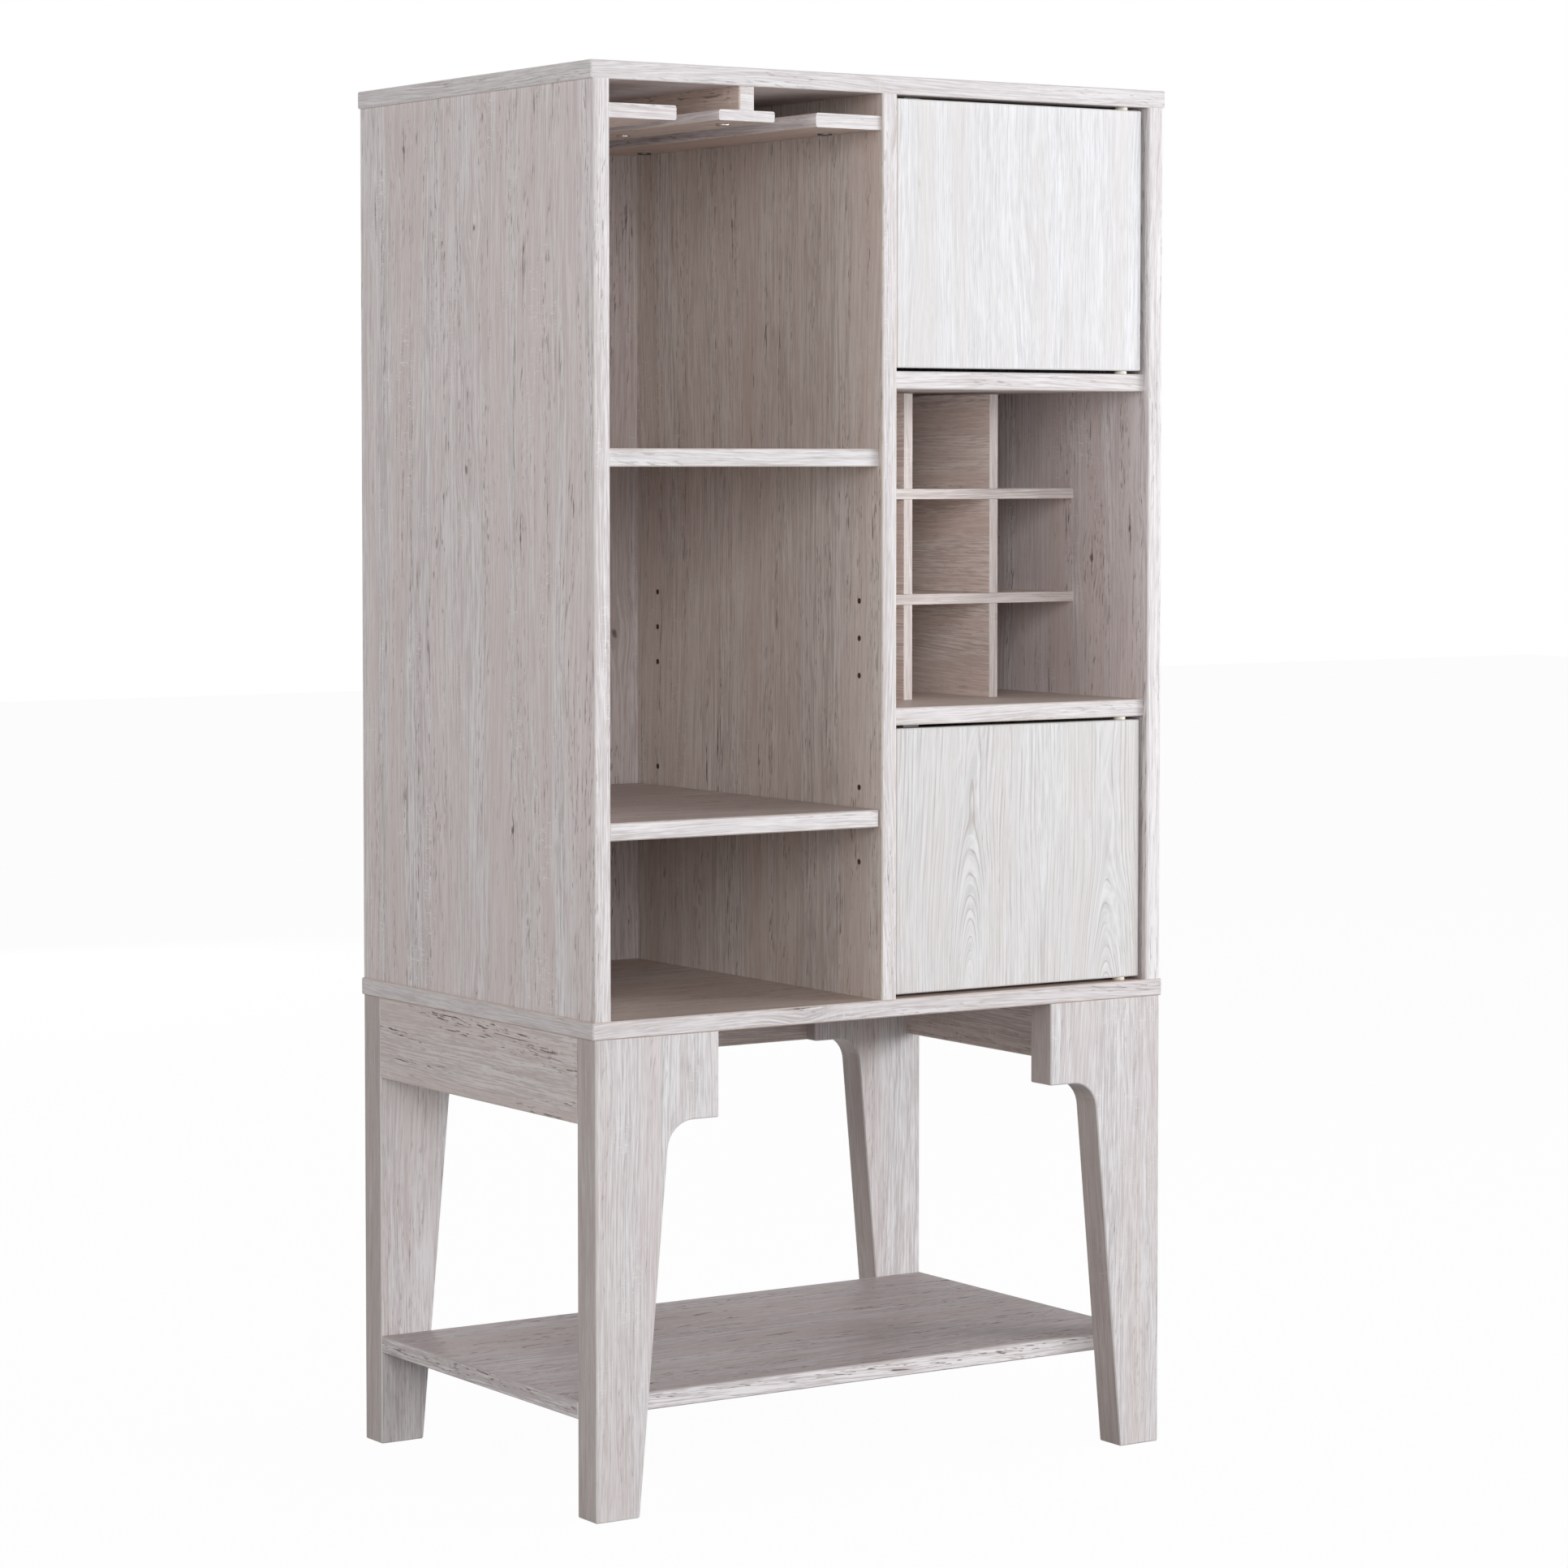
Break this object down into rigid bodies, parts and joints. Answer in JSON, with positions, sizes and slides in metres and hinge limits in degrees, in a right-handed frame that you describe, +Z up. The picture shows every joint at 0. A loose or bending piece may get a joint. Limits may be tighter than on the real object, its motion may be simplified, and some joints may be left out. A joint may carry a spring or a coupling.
{
  "type": "wine cabinet",
  "caption": "Tall open-fronted wine cabinet on tapered legs, with a stemware rack, shelves, a bottle lattice, pivoting doors and a low shelf.",
  "frame": {"origin": "floor level, centred under the cabinet", "axes": "+Z up, the open front and the doors face -Y, +X to the right seen from the front"},
  "size_m": [0.59, 0.4, 1.2],
  "materials": {
    "whitewashed_oak": "satin faced chipboard with a printed whitewashed oak grain and banded edges",
    "oak_print_sheet": "thin printed fibreboard",
    "nickel_plated_steel": "bright nickel plate",
    "cast_zinc": "plain cast zinc",
    "beech": "raw beech",
    "natural_nylon": "moulded, off-white",
    "grey_moulding": "moulded, fine texture",
    "black_moulding": "moulded, smooth"
  },
  "bodies": {
    "cabinet": {"top_panel": "whitewashed_oak", "base_panel": "whitewashed_oak", "left_side_panel": "whitewashed_oak", "centre_divider": "whitewashed_oak", "right_side_panel": "whitewashed_oak", "back_panel": "oak_print_sheet", "left_fixed_shelf": "whitewashed_oak", "right_lower_shelf": "whitewashed_oak", "right_upper_shelf": "whitewashed_oak", "shelf_pins": "nickel_plated_steel", "pivot_bushes": "natural_nylon", "rack_left_slat": "whitewashed_oak", "rack_middle_slat": "whitewashed_oak", "rack_right_slat": "whitewashed_oak", "rack_batten": "whitewashed_oak", "rack_bolts": "nickel_plated_steel", "rack_cams": "cast_zinc", "rack_cam_bolts": "cast_zinc", "lattice_upright_left": "whitewashed_oak", "lattice_upright_right": "whitewashed_oak", "lattice_rail_lower": "whitewashed_oak", "lattice_rail_upper": "whitewashed_oak", "front_left_leg": "whitewashed_oak", "front_right_leg": "whitewashed_oak", "rear_left_leg": "whitewashed_oak", "rear_right_leg": "whitewashed_oak", "left_apron": "whitewashed_oak", "right_apron": "whitewashed_oak", "rear_apron": "whitewashed_oak", "low_shelf": "whitewashed_oak", "upper_latch_housing": "grey_moulding", "lower_latch_housing": "grey_moulding", "cam_locks": "cast_zinc", "cam_bolts": "cast_zinc", "wooden_dowels": "beech"},
    "upper_door": {"upper_door_panel": "whitewashed_oak", "upper_door_pivot_pins": "nickel_plated_steel", "upper_strike_plate": "nickel_plated_steel"},
    "upper_latch": {"upper_latch_plunger": "black_moulding"},
    "lower_door": {"lower_door_panel": "whitewashed_oak", "lower_door_pivot_pins": "nickel_plated_steel", "lower_strike_plate": "nickel_plated_steel"},
    "lower_latch": {"lower_latch_plunger": "black_moulding"},
    "adjustable_shelf": {"adjustable_shelf": "whitewashed_oak"}
  },
  "joints": [
    {"name": "upper_door_hinge", "type": "hinge", "parent": "cabinet", "child": "upper_door", "pos_m": [0.2565, -0.1865, 1.068], "axis": [0, 0, 1], "range_deg": [0, 125]},
    {"name": "upper_latch_press", "type": "slide", "parent": "cabinet", "child": "upper_latch", "axis": [0, 1, 0], "range_m": [0, 0.003], "stiffness_N_per_m": 400, "springref_m": -0.004},
    {"name": "lower_door_hinge", "type": "hinge", "parent": "cabinet", "child": "lower_door", "pos_m": [0.2565, -0.1865, 0.532], "axis": [0, 0, 1], "range_deg": [0, 125]},
    {"name": "lower_latch_press", "type": "slide", "parent": "cabinet", "child": "lower_latch", "axis": [0, 1, 0], "range_m": [0, 0.003], "stiffness_N_per_m": 400, "springref_m": -0.004},
    {"name": "adjustable_shelf_slide", "type": "slide", "parent": "cabinet", "child": "adjustable_shelf", "axis": [0, -1, 0], "range_m": [0, 0.39]}
  ]
}
